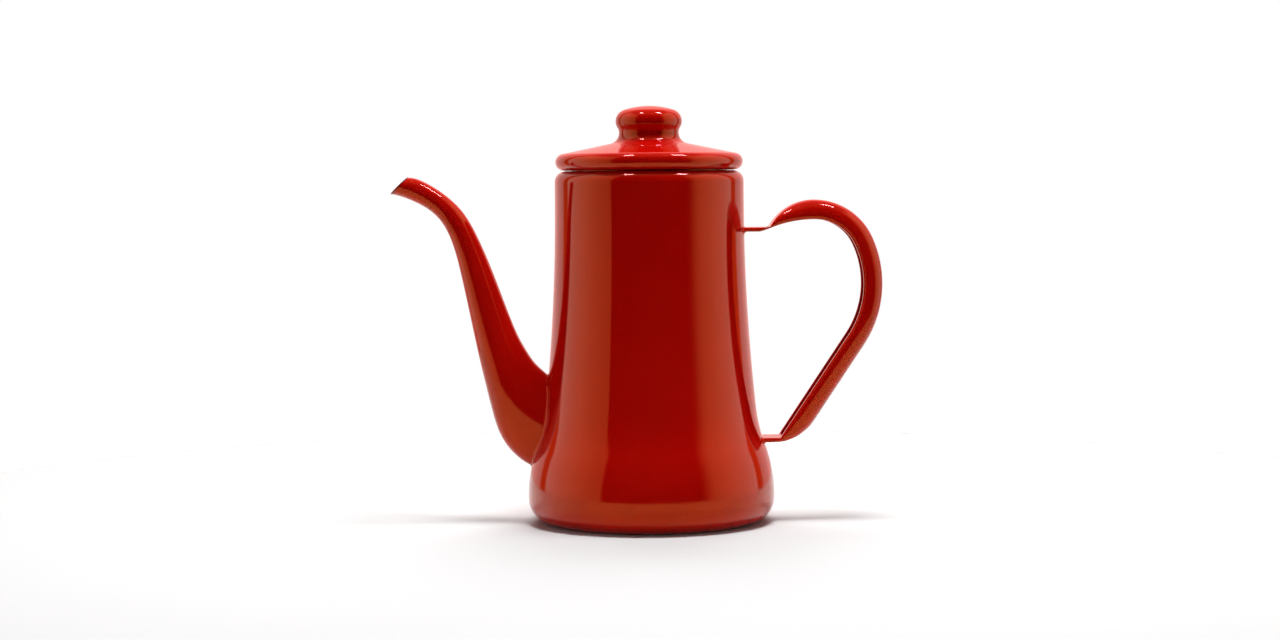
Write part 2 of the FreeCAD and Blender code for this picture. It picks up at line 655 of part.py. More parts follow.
def channel_section(body):
    """The strap's pressed section: a rounded ridge, two flanks and edges rolled in towards the pot."""
    sketch = new_sketch(body, "channel_section", "YZ_Plane",
                        Placement(Vector(0, 0, heel_start.x), Rotation()))
    sketch.setExpression("AttachmentOffset.Base.z", "Sizes.hip_radius + Sizes.heel_out")
    half = size.strap_width / 2
    low = size.tab_low
    high = low + size.strap_depth
    corners = [point(side * (half - size.strap_corner), low + size.strap_corner) for side in (-1, 1)]
    rolls = [point(side * (half - size.strap_roll), high - size.strap_roll) for side in (-1, 1)]
    lip = half - size.strap_lip
    chain = trace_sheet(sketch, point(-lip, high), [
        (point(rolls[0].x, high),),
        (point(-half, rolls[0].y), rolls[0], 1),
        (point(-half, corners[0].y),),
        (point(corners[0].x, low), corners[0], 1),
        (point(corners[1].x, low),),
        (point(half, corners[1].y), corners[1], 1),
        (point(half, rolls[1].y),),
        (point(rolls[1].x, high), rolls[1], 1),
        (point(lip, high),),
    ], "strap_wall")[0]
    edge_a, roll_a, flank_a, corner_a, web, corner_b, flank_b, roll_b, edge_b = chain
    bind_y(sketch, web[1], "Sizes.tab_low")
    for corner, roll, flank, lip_end in ((corner_a, roll_a, flank_a, edge_a[1]),
                                         (corner_b, roll_b, flank_b, edge_b[2])):
        bind(sketch, "Radius", (corner[0],), "Sizes.strap_corner")
        bind(sketch, "Radius", (roll[0],), "Sizes.strap_roll")
        bind_x(sketch, flank[1], "Sizes.strap_width / 2")
        bind_x(sketch, lip_end, "Sizes.strap_width / 2 - Sizes.strap_lip")
        bind_y(sketch, lip_end, "Sizes.tab_low + Sizes.strap_depth")
    return sketch


def through_cut(body, name, sketch):
    pocket = body.newObject("PartDesign::Pocket", name)
    pocket.Profile = sketch
    pocket.Type = "ThroughAll"
    pocket.Midplane = True


def cut_under_crown(body):
    """Leave only the ridge and the flanks' edges where the crown comes down to the upper tab."""
    sketch = new_sketch(body, "crown_edges")
    edge_top = crown - size.strap_depth
    centre = point(crown_centre.x, edge_top - size.edge_curve)
    slope_out = Vector(-math.sin(math.radians(size.edge_angle)), math.cos(math.radians(size.edge_angle)), 0)
    landing = centre + slope_out * size.edge_curve
    drop = landing.y - (tab_top - size.tab_thick)
    foot = point(landing.x - drop / math.tan(math.radians(size.edge_angle)), tab_top - size.tab_thick)
    floor = grip_centre.y
    legs = trace(sketch, point(crown_centre.x, edge_top), [
        (landing, centre, 1),
        (foot,),
        (point(foot.x, floor),),
        (point(crown_centre.x, floor),),
        (point(crown_centre.x, edge_top),),
    ])
    edge, slope_line, inner_side, bottom, outer_side = legs
    sketch.addConstraint(Sketcher.Constraint("PointOnObject", edge[0], 3, outer_side[0]))
    bind(sketch, "Radius", (edge[0],), "Sizes.edge_curve")
    bind_y(sketch, edge[1], f"{CROWN} - Sizes.strap_depth")
    bind_x(sketch, edge[1], CROWN_X)
    bind_y(sketch, slope_line[2], f"{TAB_TOP} - Sizes.tab_thick")
    bind(sketch, "DistanceX", (*edge[2], *edge[1]), "Sizes.edge_curve * sin(Sizes.edge_angle)")
    bind_y(sketch, bottom[1], f"{CROWN} - Sizes.grip_drop")
    through_cut(body, "crown_edge_cut", sketch)


def cut_over_heel(body):
    """Carry the straight inner edges of the leg on down to the lower tab."""
    sketch = new_sketch(body, "heel_edges")
    turn = heel_centre + leg_out * (size.heel_curve - size.strap_depth)
    up_leg = Vector(-leg_out.y, leg_out.x, 0)
    tab = size.tab_low + size.tab_thick
    foot = turn - up_leg * ((turn.y - tab) / up_leg.y)
    back = size.hip_radius - size.drum_wall
    legs = trace(sketch, foot, [
        (turn,),
        (point(back, turn.y),),
        (point(back, tab),),
        (foot,),
    ])
    edge, top, inner_side, bottom = legs
    bind_x(sketch, edge[2], "Sizes.hip_radius + Sizes.heel_out"
           f" + (Sizes.heel_curve - Sizes.strap_depth) * cos({LEAN})")
    bind_y(sketch, edge[2], "Sizes.tab_low + Sizes.heel_curve"
           f" - (Sizes.heel_curve - Sizes.strap_depth) * sin({LEAN})")
    bind(sketch, "Angle", (edge[0],), f"90deg - {LEAN}")
    bind_y(sketch, bottom[1], "Sizes.tab_low + Sizes.tab_thick")
    bind_x(sketch, bottom[1], "Sizes.hip_radius - Sizes.drum_wall")
    through_cut(body, "heel_edge_cut", sketch)


def add_tab(body, name, low, inner, outer):
    """A flat strip from inside the drum's wall out under the grip; each place is (value, expression)."""
    sketch = new_sketch(body, name)
    high = low[0] + size.tab_thick
    under, end, top, inner_end = trace(sketch, point(inner[0], low[0]), [
        (point(outer[0], low[0]),),
        (point(outer[0], high),),
        (point(inner[0], high),),
        (point(inner[0], low[0]),),
    ])
    bind_x(sketch, under[1], inner[1])
    bind_y(sketch, under[1], low[1])
    bind_x(sketch, end[1], outer[1])
    bind(sketch, "DistanceY", (*end[1], *end[2]), "Sizes.tab_thick")
    pad = body.newObject("PartDesign::Pad", f"{name}_pad")
    pad.Profile = sketch
    pad.Midplane = True
    pad.setExpression("Length", "Sizes.strap_width")


def make_handle_strap():
    """Pressed channel strap bent to the grip, with a flat tab at each end welded to the drum."""
    body = new_body("handle_strap")
    path = grip_path(body)
    sweep = body.newObject("PartDesign::AdditivePipe", "channel")
    sweep.Profile = channel_section(body)
    sweep.Spine = (path, [f"Edge{number}" for number in range(1, path.GeometryCount + 1)])
    cut_under_crown(body)
    cut_over_heel(body)
    add_tab(body, "upper_tab", (tab_top - size.tab_thick, f"{TAB_TOP} - Sizes.tab_thick"),
            (mouth_radius, MOUTH), (tab_meet + size.tab_lap, f"{TAB_MEET} + Sizes.tab_lap"))
    add_tab(body, "lower_tab", (size.tab_low, "Sizes.tab_low"),
            (size.upper_radius, "Sizes.upper_radius"),
            (heel_start.x + size.tab_thick, "Sizes.hip_radius + Sizes.heel_out + Sizes.tab_thick"))
    trim_to_drum(body, "handle_seat")
    return body


# ---------------------------------------------------------------- build, check and export

parts = [
    make_body_shell(),
    make_base_dish(),
    *make_spout_halves(),
    make_handle_strap(),
    make_lid_dome(),
    make_lid_skirt(),
    make_knob_shell(),
]
doc.recompute()

for item in doc.Objects:
    if "Invalid" in item.State or "Error" in item.State:
        raise RuntimeError(f"{item.Name} is not in order: {item.State}")
os.makedirs("parts", exist_ok=True)
for part in parts:
    if part.Shape.isNull() or not part.Shape.isValid() or len(part.Shape.Solids) != 1:
        raise RuntimeError(f"{part.Label} is not one valid solid")
    part.Shape.exportStep(f"parts/{part.Label}.step")
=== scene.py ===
"""Looks of an enamelled coffee pot: red glaze, dark ground coat, strap handle, welds and studio.

Lengths are metres in the CAD frame.  A length typed in millimetres is multiplied by MM; the strap
handle is worked out in millimetres and turned into metres at the end.
"""

import math

import bmesh
import bpy
from mathutils import Matrix, Vector
from mathutils.bvhtree import BVHTree


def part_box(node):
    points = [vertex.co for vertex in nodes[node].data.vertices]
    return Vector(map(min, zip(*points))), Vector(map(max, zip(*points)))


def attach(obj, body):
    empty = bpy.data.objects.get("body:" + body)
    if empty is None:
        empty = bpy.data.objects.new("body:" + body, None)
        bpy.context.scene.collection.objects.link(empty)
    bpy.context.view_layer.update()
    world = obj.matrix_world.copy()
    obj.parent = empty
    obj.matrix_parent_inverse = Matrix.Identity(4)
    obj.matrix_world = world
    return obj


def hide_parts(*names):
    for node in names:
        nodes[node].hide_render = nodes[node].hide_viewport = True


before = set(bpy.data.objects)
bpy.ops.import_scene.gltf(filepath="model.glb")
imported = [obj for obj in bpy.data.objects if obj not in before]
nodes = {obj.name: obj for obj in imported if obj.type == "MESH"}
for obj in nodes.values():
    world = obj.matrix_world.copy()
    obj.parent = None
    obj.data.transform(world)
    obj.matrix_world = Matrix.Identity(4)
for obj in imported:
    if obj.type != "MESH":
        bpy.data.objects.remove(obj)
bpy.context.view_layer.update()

MM = 0.001
POT, LID = "pot", "lid"


# ---------------------------------------------------------------- materials

class Nodes:
    """Short ways of adding and joining nodes in one tree."""

    def __init__(self, owner):
        owner.use_nodes = True
        self.tree = owner.node_tree
        self.tree.nodes.clear()

    def add(self, kind, inputs=None, **settings):
        item = self.tree.nodes.new(kind)
        for name, value in settings.items():
            setattr(item, name, value)
        for name, value in (inputs or {}).items():
            socket = item.inputs[name]
            if isinstance(value, bpy.types.NodeSocket):
                self.tree.links.new(value, socket)
            else:
                socket.default_value = value
        return item

    def maths(self, operation, *values):
        item = self.add("ShaderNodeMath", dict(enumerate(values)), operation=operation)
        return item.outputs[0]

    def ramp(self, value, low, high, start=0.0, end=1.0, smooth=True):
        return self.add("ShaderNodeMapRange", {
            "Value": value, "From Min": low, "From Max": high, "To Min": start, "To Max": end,
        }, interpolation_type="SMOOTHSTEP" if smooth else "LINEAR").outputs["Result"]

    def noise(self, place, scale, detail, rough=0.5):
        return self.add("ShaderNodeTexNoise", {
            "Vector": place, "Scale": scale, "Detail": detail, "Roughness": rough,
        }).outputs["Fac"]

    def blend(self, share, low, high):
        return self.add("ShaderNodeMix", {0: share, 6: (*low, 1), 7: (*high, 1)},
                        data_type="RGBA").outputs[2]


POOLING_SCALE, PEEL_SCALE, RIPPLE_SCALE = 35, 90, 600      # the glaze's noises, cells per metre
POOLING_RANGE = (0.3, 0.7)
RIPPLE_SHARE = 0.02       # of the ripple beside the orange peel
FLECK_SCALE, PATCH_SCALE, GRIT_SCALE = 700, 160, 250       # the ground coat's, cells per metre
RELIEF = 0.0001           # height of the bump at full strength
GLAZE_BUMP, GROUND_BUMP = 0.15, 0.3
PATCH_RANGE, FLECK_RANGE, GROUND_SHINE = (0.5, 0.7), (0.28, 0.12), (0.16, 0.3)
GLAZE_IOR, GROUND_IOR = 1.9, 1.5


def glaze(name, thin, thick, shine, tint):
    """Vitreous enamel: colour that pools, soft orange peel and a wandering gloss."""
    material = bpy.data.materials.new(name)
    net = Nodes(material)
    place = net.add("ShaderNodeTexCoord").outputs["Object"]
    pooling = net.noise(place, POOLING_SCALE, 3)
    peel = net.noise(place, PEEL_SCALE, 1)
    ripple = net.noise(place, RIPPLE_SCALE, 1)
    height = net.maths("ADD", peel, net.maths("MULTIPLY", ripple, RIPPLE_SHARE))
    bump = net.add("ShaderNodeBump", {"Strength": GLAZE_BUMP, "Distance": RELIEF, "Height": height})
    shader = net.add("ShaderNodeBsdfPrincipled", {
        "Base Color": net.blend(net.ramp(pooling, *POOLING_RANGE), thin, thick),
        "Roughness": net.ramp(pooling, *POOLING_RANGE, *shine),
        "Normal": bump.outputs["Normal"],
        "IOR": GLAZE_IOR,
        "Specular Tint": (*tint, 1),
    })
    net.add("ShaderNodeOutputMaterial", {"Surface": shader.outputs["BSDF"]})
    return material


def speckled(name, base, fleck):
    """Dark ground-coat enamel with fine pale flecks."""
    material = bpy.data.materials.new(name)
    net = Nodes(material)
    place = net.add("ShaderNodeTexCoord").outputs["Object"]
    cells = net.add("ShaderNodeTexVoronoi", {"Vector": place, "Scale": FLECK_SCALE}).outputs["Distance"]
    patch = net.ramp(net.noise(place, PATCH_SCALE, 2), *PATCH_RANGE)
    flecks = net.maths("MULTIPLY", net.ramp(cells, *FLECK_RANGE), patch)
    bump = net.add("ShaderNodeBump", {"Strength": GROUND_BUMP, "Distance": RELIEF,
                                      "Height": net.noise(place, GRIT_SCALE, 2)})
    shader = net.add("ShaderNodeBsdfPrincipled", {
        "Base Color": net.blend(flecks, base, fleck),
        "Roughness": net.ramp(patch, 0, 1, *GROUND_SHINE),
        "Normal": bump.outputs["Normal"],
        "IOR": GROUND_IOR,
    })
    net.add("ShaderNodeOutputMaterial", {"Surface": shader.outputs["BSDF"]})
    return material


red = glaze("red_enamel", thin=(0.43, 0.003, 0.001), thick=(0.40, 0.002, 0.0008), shine=(0.06, 0.09),
            tint=(1.0, 0.29, 0.07))
ground = speckled("ground_coat", base=(0.012, 0.012, 0.014), fleck=(0.25, 0.25, 0.26))


# ---------------------------------------------------------------- pieces taken from the frame

def solid_tree(*names):
    """A tree for measuring one or more CAD nodes."""
    points, faces = [], []
    for name in names:
        data = nodes[name].data
        first = len(points)
        points += [v.co.copy() for v in data.vertices]
        faces += [[first + i for i in face.vertices] for face in data.polygons]
    return BVHTree.FromPolygons(points, faces)


def present(piece, body, replaced=()):
    """Put a finished piece in the scene on its body."""
    bpy.context.scene.collection.objects.link(piece)
    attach(piece, body)
    if replaced:
        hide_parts(*replaced)
    return piece


def join_rings(mesh, rings, following):
    """Faces from each ring of vertices to the one that follows it, every ring closed on itself."""
    for ring, after in zip(rings, following):
        for k in range(len(ring)):
            turn = (k + 1) % len(ring)
            mesh.faces.new((ring[k], ring[turn], after[turn], after[k]))


def skin(mesh, name, material, crease=None):
    """Mesh data from a finished bmesh: smooth, and sharp where faces meet above a crease in degrees."""
    bmesh.ops.recalc_face_normals(mesh, faces=mesh.faces)
    data = bpy.data.meshes.new(name)
    mesh.to_mesh(data)
    mesh.free()
    data.materials.append(material)
    data.shade_smooth()
    if crease is not None:
        data.set_sharp_from_angle(angle=math.radians(crease))
    return data


def coat(name, body, dark_here):
    """The node's own skin with the ground coat on the faces where dark_here(place, normal) holds."""
    data = nodes[name].data.copy()
    data.materials.clear()
    data.materials.append(red)
    data.materials.append(ground)
    for face in data.polygons:
        face.material_index = 1 if dark_here(face.center, face.normal) else 0
    return present(bpy.data.objects.new(f"{name}_glaze", data), body, [name])


def outward(place, normal):
    """How far a normal points away from the pot's axis."""
    reach = math.hypot(place.x, place.y)
    return (place.x * normal.x + place.y * normal.y) / reach if reach > 0.0 else 0.0


drum_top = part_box("body_shell")[1].z
skirt_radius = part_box("lid_skirt")[1].x
bore = solid_tree("spout_left_half", "spout_right_half")
FACING = 0.3              # share of a normal along a direction from which its face looks that way
INSIDE_DRUM = -0.5        # the same, for the drum's walls
LIP_DEPTH = 8 * MM        # below the drum's top, within which a face that looks down is inside it
TIP_REACH = 12 * MM       # how far from the mouth a line across the bore can leave through it
TIP_TILT, TIP_EDGE, LEVEL = 0.6, 0.001, 0.9
TIP_BAND = 0.05 * MM
AXIS_NEAR, AXIS_FAR = 3 * MM, 6 * MM
CLEAR = 0.2 * MM
KNOB_HOLLOW = 12 * MM     # radius within which the knob's faces belong to its hollow
ACROSS = 30 * MM          # more than the widest bore

# The spout's mouth: its plane, its middle and the way the bore runs there.
mouth_faces = [face for face in nodes["spout_left_half"].data.polygons
               if face.normal.x < -TIP_TILT and face.normal.z > TIP_TILT
               and abs(face.normal.y) < TIP_EDGE]
tip_normal = max(mouth_faces, key=lambda face: face.area).normal.copy()
spout_points = [vertex.co for vertex in nodes["spout_left_half"].data.vertices]
tip_level = max(place.dot(tip_normal) for place in spout_points)


def spout_middle(near, far):
    """Middle of the spout's vertices between two distances from the plane of the mouth."""
    band = [p for p in spout_points if near <= tip_level - p.dot(tip_normal) <= far]
    return Vector(((min(p.x for p in band) + max(p.x for p in band)) / 2, 0,
                   (min(p.z for p in band) + max(p.z for p in band)) / 2))


tip_middle = spout_middle(0, TIP_BAND)
tip_axis = (tip_middle - spout_middle(AXIS_NEAR, AXIS_FAR)).normalized()


def in_drum(place, normal):
    under_top = normal.z < -FACING and place.z > drum_top - LIP_DEPTH
    return outward(place, normal) < INSIDE_DRUM or under_top


def in_dish(place, normal):
    return normal.z > FACING or outward(place, normal) < -FACING


def tip_axis_point(place):
    """The nearest point of the bore's axis, which is straight near the mouth."""
    return tip_middle + tip_axis * (place - tip_middle).dot(tip_axis)


def in_spout(place, normal):
    if tip_level - place.dot(tip_normal) < TIP_REACH:
        return normal.dot(tip_normal) > LEVEL or normal.dot(place - tip_axis_point(place)) < 0
    return bore.ray_cast(place + normal * CLEAR, normal, ACROSS)[0] is not None


def under_lid(place, normal):
    return normal.z < -FACING and math.hypot(place.x, place.y) < skirt_radius


def in_knob(place, normal):
    in_hollow = normal.z < -FACING and math.hypot(place.x, place.y) < KNOB_HOLLOW
    return outward(place, normal) < -FACING or in_hollow


coat("body_shell", POT, in_drum)
coat("base_dish", POT, in_dish)
coat("spout_left_half", POT, in_spout)
coat("spout_right_half", POT, in_spout)
coat("lid_dome", LID, under_lid)
coat("lid_skirt", LID, lambda place, normal: outward(place, normal) < FACING)
coat("knob_shell", LID, in_knob)


# ---------------------------------------------------------------- strap handle

def arc(centre, radius, start, end, count):
    """Points round an arc in the side view, angles in degrees."""
    steps = [math.radians(start + (end - start) * i / count) for i in range(count + 1)]
    return [Vector((centre.x + radius * math.cos(a), centre.y + radius * math.sin(a))) for a in steps]


def line(start, end, count):
    return [start.lerp(end, i / count) for i in range(count + 1)]


strap_low, strap_high = (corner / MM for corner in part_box("handle_strap"))
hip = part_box("base_dish")[1].x / MM
HALF = strap_high.y
DEPTH, WALL, TAB = 9.1, 1.2, 2.0
CORNER, ROLL, LIP = 6.5, 1.8, 2.8
CROWN_R, INNER_R, GRIP_R, HEEL_R, EDGE_R = 29.8, 23.2, 52.0, 21.0, 55.0
GRIP_DROP, CROWN_RISE, HEEL_OUT, EDGE_SLOPE = 39.0, 12.6, 0.9, 20.0
SUNK = 1.0                # how far the tabs reach into the drum's wall
ROLL_GROWTH = 0.2         # of the rolled edge, for each millimetre the tab deepens
LEAST_BEND = 0.05
CLOSED_FOR, OPENS_OVER = 0.2, 2.5      # how the flat tab turns into the open channel as it deepens
TOP_TAB_STEPS, INNER_STEPS, CROWN_STEPS, GRIP_STEPS = 8, 28, 24, 32
LEG_STEPS, HEEL_STEPS, LOW_TAB_STEPS = 16, 20, 6
FLAT_STEPS, CORNER_STEPS, SIDE_STEPS, ROLL_STEPS, LIP_STEPS, BEND_STEPS = 5, 10, 3, 8, 6, 4
STRAP_CREASE = 32


def two(x, y):
    return Vector((x, y))


drum_tree = solid_tree("body_shell")


def drum_radius(height):
    """Outer radius of the drum at a height, in metres."""
    hit = drum_tree.ray_cast(Vector((0, -2 * hip * MM, height)), Vector((0, 1, 0)))[0]
    return -hit.y


def strap_rails():
    """Matched points along the ridge and along the inner edge of the strap, from tab to tab."""
    crown = strap_high.z
    tab_top = crown - CROWN_RISE
    grip = two(strap_high.x - GRIP_R, crown - GRIP_DROP)
    top_rise = crown - CROWN_R - grip.y
    top = two(grip.x + math.sqrt((GRIP_R - CROWN_R) ** 2 - top_rise ** 2), crown - CROWN_R)
    heel = two(hip + HEEL_OUT, strap_low.z + HEEL_R)
    span = grip - heel
    lean = math.degrees(math.acos((HEEL_R - GRIP_R) / span.length) - math.atan2(span.y, span.x))
    meet = math.degrees(math.atan2(top.y - grip.y, top.x - grip.x))
    inner = two(top.x, crown - INNER_R)
    tab_end = inner.x - math.sqrt(INNER_R ** 2 - (tab_top - inner.y) ** 2)

    edge_centre = two(top.x, crown - DEPTH - EDGE_R)
    slope = math.radians(EDGE_SLOPE)
    landing = edge_centre + two(-math.sin(slope), math.cos(slope)) * EDGE_R

    def edge_height(x):
        if x > landing.x:
            return edge_centre.y + math.sqrt(EDGE_R ** 2 - (x - edge_centre.x) ** 2)
        return max(tab_top - TAB, landing.y - (landing.x - x) * math.tan(slope))

    wall_high = drum_radius((tab_top - TAB) * MM) / MM - SUNK
    ridge = line(two(wall_high, tab_top), two(tab_end, tab_top), TOP_TAB_STEPS)[:-1]
    start = math.degrees(math.atan2(tab_top - inner.y, tab_end - inner.x))
    ridge += arc(inner, INNER_R, start, 90, INNER_STEPS)
    edge = [two(p.x, edge_height(p.x)) for p in ridge]
    for centre, radius, begin, end, count in (
        (top, CROWN_R, 90, meet, CROWN_STEPS),
        (grip, GRIP_R, meet, -lean, GRIP_STEPS),
    ):
        ridge += arc(centre, radius, begin, end, count)[1:]
        edge += arc(centre, radius - DEPTH, begin, end, count)[1:]
    out = two(math.cos(math.radians(lean)), -math.sin(math.radians(lean)))
    ridge += line(grip + out * GRIP_R, heel + out * HEEL_R, LEG_STEPS)[1:]
    edge += line(grip + out * (GRIP_R - DEPTH), heel + out * (HEEL_R - DEPTH), LEG_STEPS)[1:]

    turn = heel + out * (HEEL_R - DEPTH)
    tab_face = strap_low.z + TAB
    along = two(-out.y, out.x)
    foot = turn - along * ((turn.y - tab_face) / along.y)
    ridge += arc(heel, HEEL_R, -lean, -90, HEEL_STEPS)[1:]
    edge += line(turn, foot, HEEL_STEPS)[1:]
    wall_low = drum_radius(tab_face * MM) / MM - SUNK
    ridge += line(two(heel.x, strap_low.z), two(wall_low, strap_low.z), LOW_TAB_STEPS)[1:]
    edge += line(two(heel.x, tab_face), two(wall_low, tab_face), LOW_TAB_STEPS)[1:]
    return ridge, edge


def strap_section(depth):
    """Half the strap's section as (across, inwards) pairs, from the ridge round the edge and back."""
    roll = min(ROLL, TAB / 2 + (depth - TAB) * ROLL_GROWTH)
    corner = min(CORNER, depth - roll)
    skin = line(two(0, 0), two(HALF - corner, 0), FLAT_STEPS)
    skin += arc(two(HALF - corner, corner), corner, -90, 0, CORNER_STEPS)[1:]
    skin += line(two(HALF, corner), two(HALF, depth - roll), SIDE_STEPS)[1:]
    skin += arc(two(HALF - roll, depth - roll), roll, 0, 90, ROLL_STEPS)[1:]
    hollow = arc(two(HALF - LIP, depth - WALL / 2), WALL / 2, 90, 270, LIP_STEPS)
    small = max(roll - WALL, LEAST_BEND)
    hollow += arc(two(HALF - WALL - small, depth - WALL - small), small, 90, 0, BEND_STEPS)
    bend = max(corner - WALL, LEAST_BEND)
    hollow += arc(two(HALF - WALL - bend, WALL + bend), bend, 0, -90, CORNER_STEPS)
    hollow += line(two(HALF - WALL - bend, WALL), two(0, WALL), FLAT_STEPS)[1:]
    open_share = min(max((depth - TAB - CLOSED_FOR) / OPENS_OVER, 0), 1)
    open_share = open_share * open_share * (3 - 2 * open_share)
    count = len(hollow) - 1
    flat = [two((HALF - LIP) * (1 - i / count), depth) for i in range(count + 1)]
    return skin + [low.lerp(high, open_share) for low, high in zip(flat, hollow)]


def build_strap():
    """The strap as one closed tube of sections from the upper tab to the lower."""
    mesh = bmesh.new()
    rings = []
    for ridge, edge in zip(*strap_rails()):
        inwards = edge - ridge
        half = strap_section(inwards.length)
        inwards.normalize()
        loop = half + [two(-p.x, p.y) for p in reversed(half[1:-1])]
        rings.append([mesh.verts.new((
            (ridge.x + inwards.x * p.y) * MM,
            p.x * MM,
            (ridge.y + inwards.y * p.y) * MM,
        )) for p in loop])
    join_rings(mesh, rings, rings[1:])
    mesh.faces.new(rings[0])
    mesh.faces.new(reversed(rings[-1]))
    data = skin(mesh, "strap", red, STRAP_CREASE)
    return present(bpy.data.objects.new("strap_glaze", data), POT, ["handle_strap"])


build_strap()


# ---------------------------------------------------------------- glazed welds on the drum

WELD_DIP = 0.03                        # millimetres that a weld's edges dip below the skins they meet
ROOT_DEPTH, ROOT_SHIFT = 0.6, 0.3      # millimetres from the joint to the weld's hidden root
WELD_STRIPS, WELD_CREASE = 8, 40
SPOUT_WELD, SPOUT_WELD_STEPS = 2.2 * MM, 120
TAB_WELD_THIN, TAB_WELD_UP, TAB_WELD_DOWN, TAB_WELD_STEPS = 1.1 * MM, 2.2 * MM, 2.6 * MM, 80
SEAT_BELOW, SEAT_NEAR = 90 * MM, 0.03 * MM
TAB_ARC_SHARE = 0.3                    # of a tab's steps that go round its narrow ends
SLOPE_STEP = 0.5 * MM


def drum_normal(place):
    step = SLOPE_STEP
    lean = (drum_radius(place.z + step) - drum_radius(place.z - step)) / (2 * step)
    reach = math.hypot(place.x, place.y)
    return Vector((place.x / reach, place.y / reach, -lean)).normalized()


def on_drum(place):
    """The nearest point of the drum's skin at the same height."""
    reach = math.hypot(place.x, place.y)
    radius = drum_radius(place.z)
    return Vector((place.x / reach * radius, place.y / reach * radius, place.z))


def fillet(name, loop, climb, up_reach, down_reach):
    """A glazed weld round a joint on the drum.

    loop runs round the joint; climb(place, reach) gives the point that far up the joined piece; the
    reaches up the piece and out over the drum are functions of the place.
    """
    mesh = bmesh.new()
    rings = []
    count = len(loop)
    middle = sum(loop, Vector()) / count
    for i, place in enumerate(loop):
        normal = drum_normal(place)
        tangent = (loop[(i + 1) % count] - loop[i - 1]).normalized()
        away = normal.cross(tangent).normalized()
        if away.dot(place - middle) < 0:
            away = -away
        top = climb(place, up_reach(place))
        foot = on_drum(place + away * down_reach(place)) - normal * WELD_DIP * MM
        ring = []
        for k in range(WELD_STRIPS + 1):
            t = k / WELD_STRIPS
            ring.append(top * (1 - t) ** 2 + place * 2 * t * (1 - t) + foot * t ** 2)
        ring.append(place - normal * ROOT_DEPTH * MM - away * ROOT_SHIFT * MM)
        rings.append([mesh.verts.new(p) for p in ring])
    join_rings(mesh, rings, rings[1:] + rings[:1])
    return present(bpy.data.objects.new(name, skin(mesh, name, red, WELD_CREASE)), POT)


def spout_loop(count):
    """Where the spout's skin meets the drum's, evenly round the joint."""
    seat = []
    for name in ("spout_left_half", "spout_right_half"):
        for vertex in nodes[name].data.vertices:
            place = vertex.co
            if place.z < SEAT_BELOW:
                if abs(math.hypot(place.x, place.y) - drum_radius(place.z)) < SEAT_NEAR:
                    seat.append(place.copy())
    low = min(p.z for p in seat)
    high = max(p.z for p in seat)
    middle = (low + high) / 2
    tall = (high - low) / 2
    wide = max(abs(p.y) for p in seat)
    rim = {}
    for place in seat:
        across, up = place.y / wide, (place.z - middle) / tall
        cell = round(math.atan2(up, across) / math.tau * count) % count
        reach = math.hypot(across, up)
        if cell not in rim or reach > rim[cell][0]:
            rim[cell] = (reach, place)
    reaches = [rim[i][0] if i in rim else None for i in range(count)]
    known = [i for i in range(count) if reaches[i]]
    for i in range(count):
        if reaches[i] is None:
            before = max((k for k in known if k < i), default=known[-1] - count)
            after = min((k for k in known if k > i), default=known[0] + count)
            share = (i - before) / (after - before)
            reaches[i] = reaches[before % count] * (1 - share) + reaches[after % count] * share
    loop = []
    for i in range(count):
        near = [reaches[(i + k) % count] for k in (-1, 0, 1)]
        reach = (near[0] + 2 * near[1] + near[2]) / 4
        angle = i / count * math.tau
        across, up = wide * reach * math.cos(angle), middle + tall * reach * math.sin(angle)
        radius = drum_radius(up)
        loop.append(Vector((-math.sqrt(radius ** 2 - across ** 2), across, up)))
    return loop


def up_spout(place, reach):
    snapped, normal, _, _ = bore.find_nearest(place + drum_normal(place) * reach)
    return snapped - normal * WELD_DIP * MM


def tab_loop(low, count):
    """The outline of a strap tab where it meets the drum."""
    loop = []
    radius = TAB / 2
    straight = 2 * (HALF - radius)
    for i in range(count):
        side = 1 if i < count / 2 else -1
        share = (i % (count // 2)) / (count // 2)
        if share < TAB_ARC_SHARE:
            angle = math.radians(-90 + 180 * share / TAB_ARC_SHARE)
            across, up = HALF - radius + radius * math.cos(angle), radius * math.sin(angle)
        else:
            across = (HALF - radius) - straight * (share - TAB_ARC_SHARE) / (1 - TAB_ARC_SHARE)
            up = radius
        across, up = across * side, up * side
        height = (low + radius + up) * MM
        reach = drum_radius(height)
        loop.append(Vector((math.sqrt(reach ** 2 - (across * MM) ** 2), across * MM, height)))
    return loop


def up_tab(place, reach):
    return place + Vector((reach, 0, 0))


fillet("spout_weld", spout_loop(SPOUT_WELD_STEPS), up_spout, lambda p: SPOUT_WELD, lambda p: SPOUT_WELD)
for label, low in (("upper", strap_high.z - CROWN_RISE - TAB), ("lower", strap_low.z)):
    middle = (low + TAB / 2) * MM
    loop = tab_loop(low, TAB_WELD_STEPS)
    fillet(f"{label}_tab_weld", loop, up_tab,
           lambda p, m=middle: TAB_WELD_THIN if p.z > m else TAB_WELD_UP,
           lambda p, m=middle: TAB_WELD_THIN if p.z > m else TAB_WELD_DOWN)


# ---------------------------------------------------------------- dark rim of the spout's mouth

def ring_tube(name, path, radius, material, sides=12):
    """A closed tube through a ring of points."""
    mesh = bmesh.new()
    count = len(path)
    middle = sum(path, Vector()) / count
    rings = []
    for i, place in enumerate(path):
        along = (path[(i + 1) % count] - path[i - 1]).normalized()
        out = (place - middle).normalized()
        out = (out - along * out.dot(along)).normalized()
        up = along.cross(out)
        rings.append([mesh.verts.new(place + (out * math.cos(a) + up * math.sin(a)) * radius)
                      for a in (math.tau * k / sides for k in range(sides))])
    join_rings(mesh, rings, rings[1:] + rings[:1])
    return present(bpy.data.objects.new(name, skin(mesh, name, material)), POT)


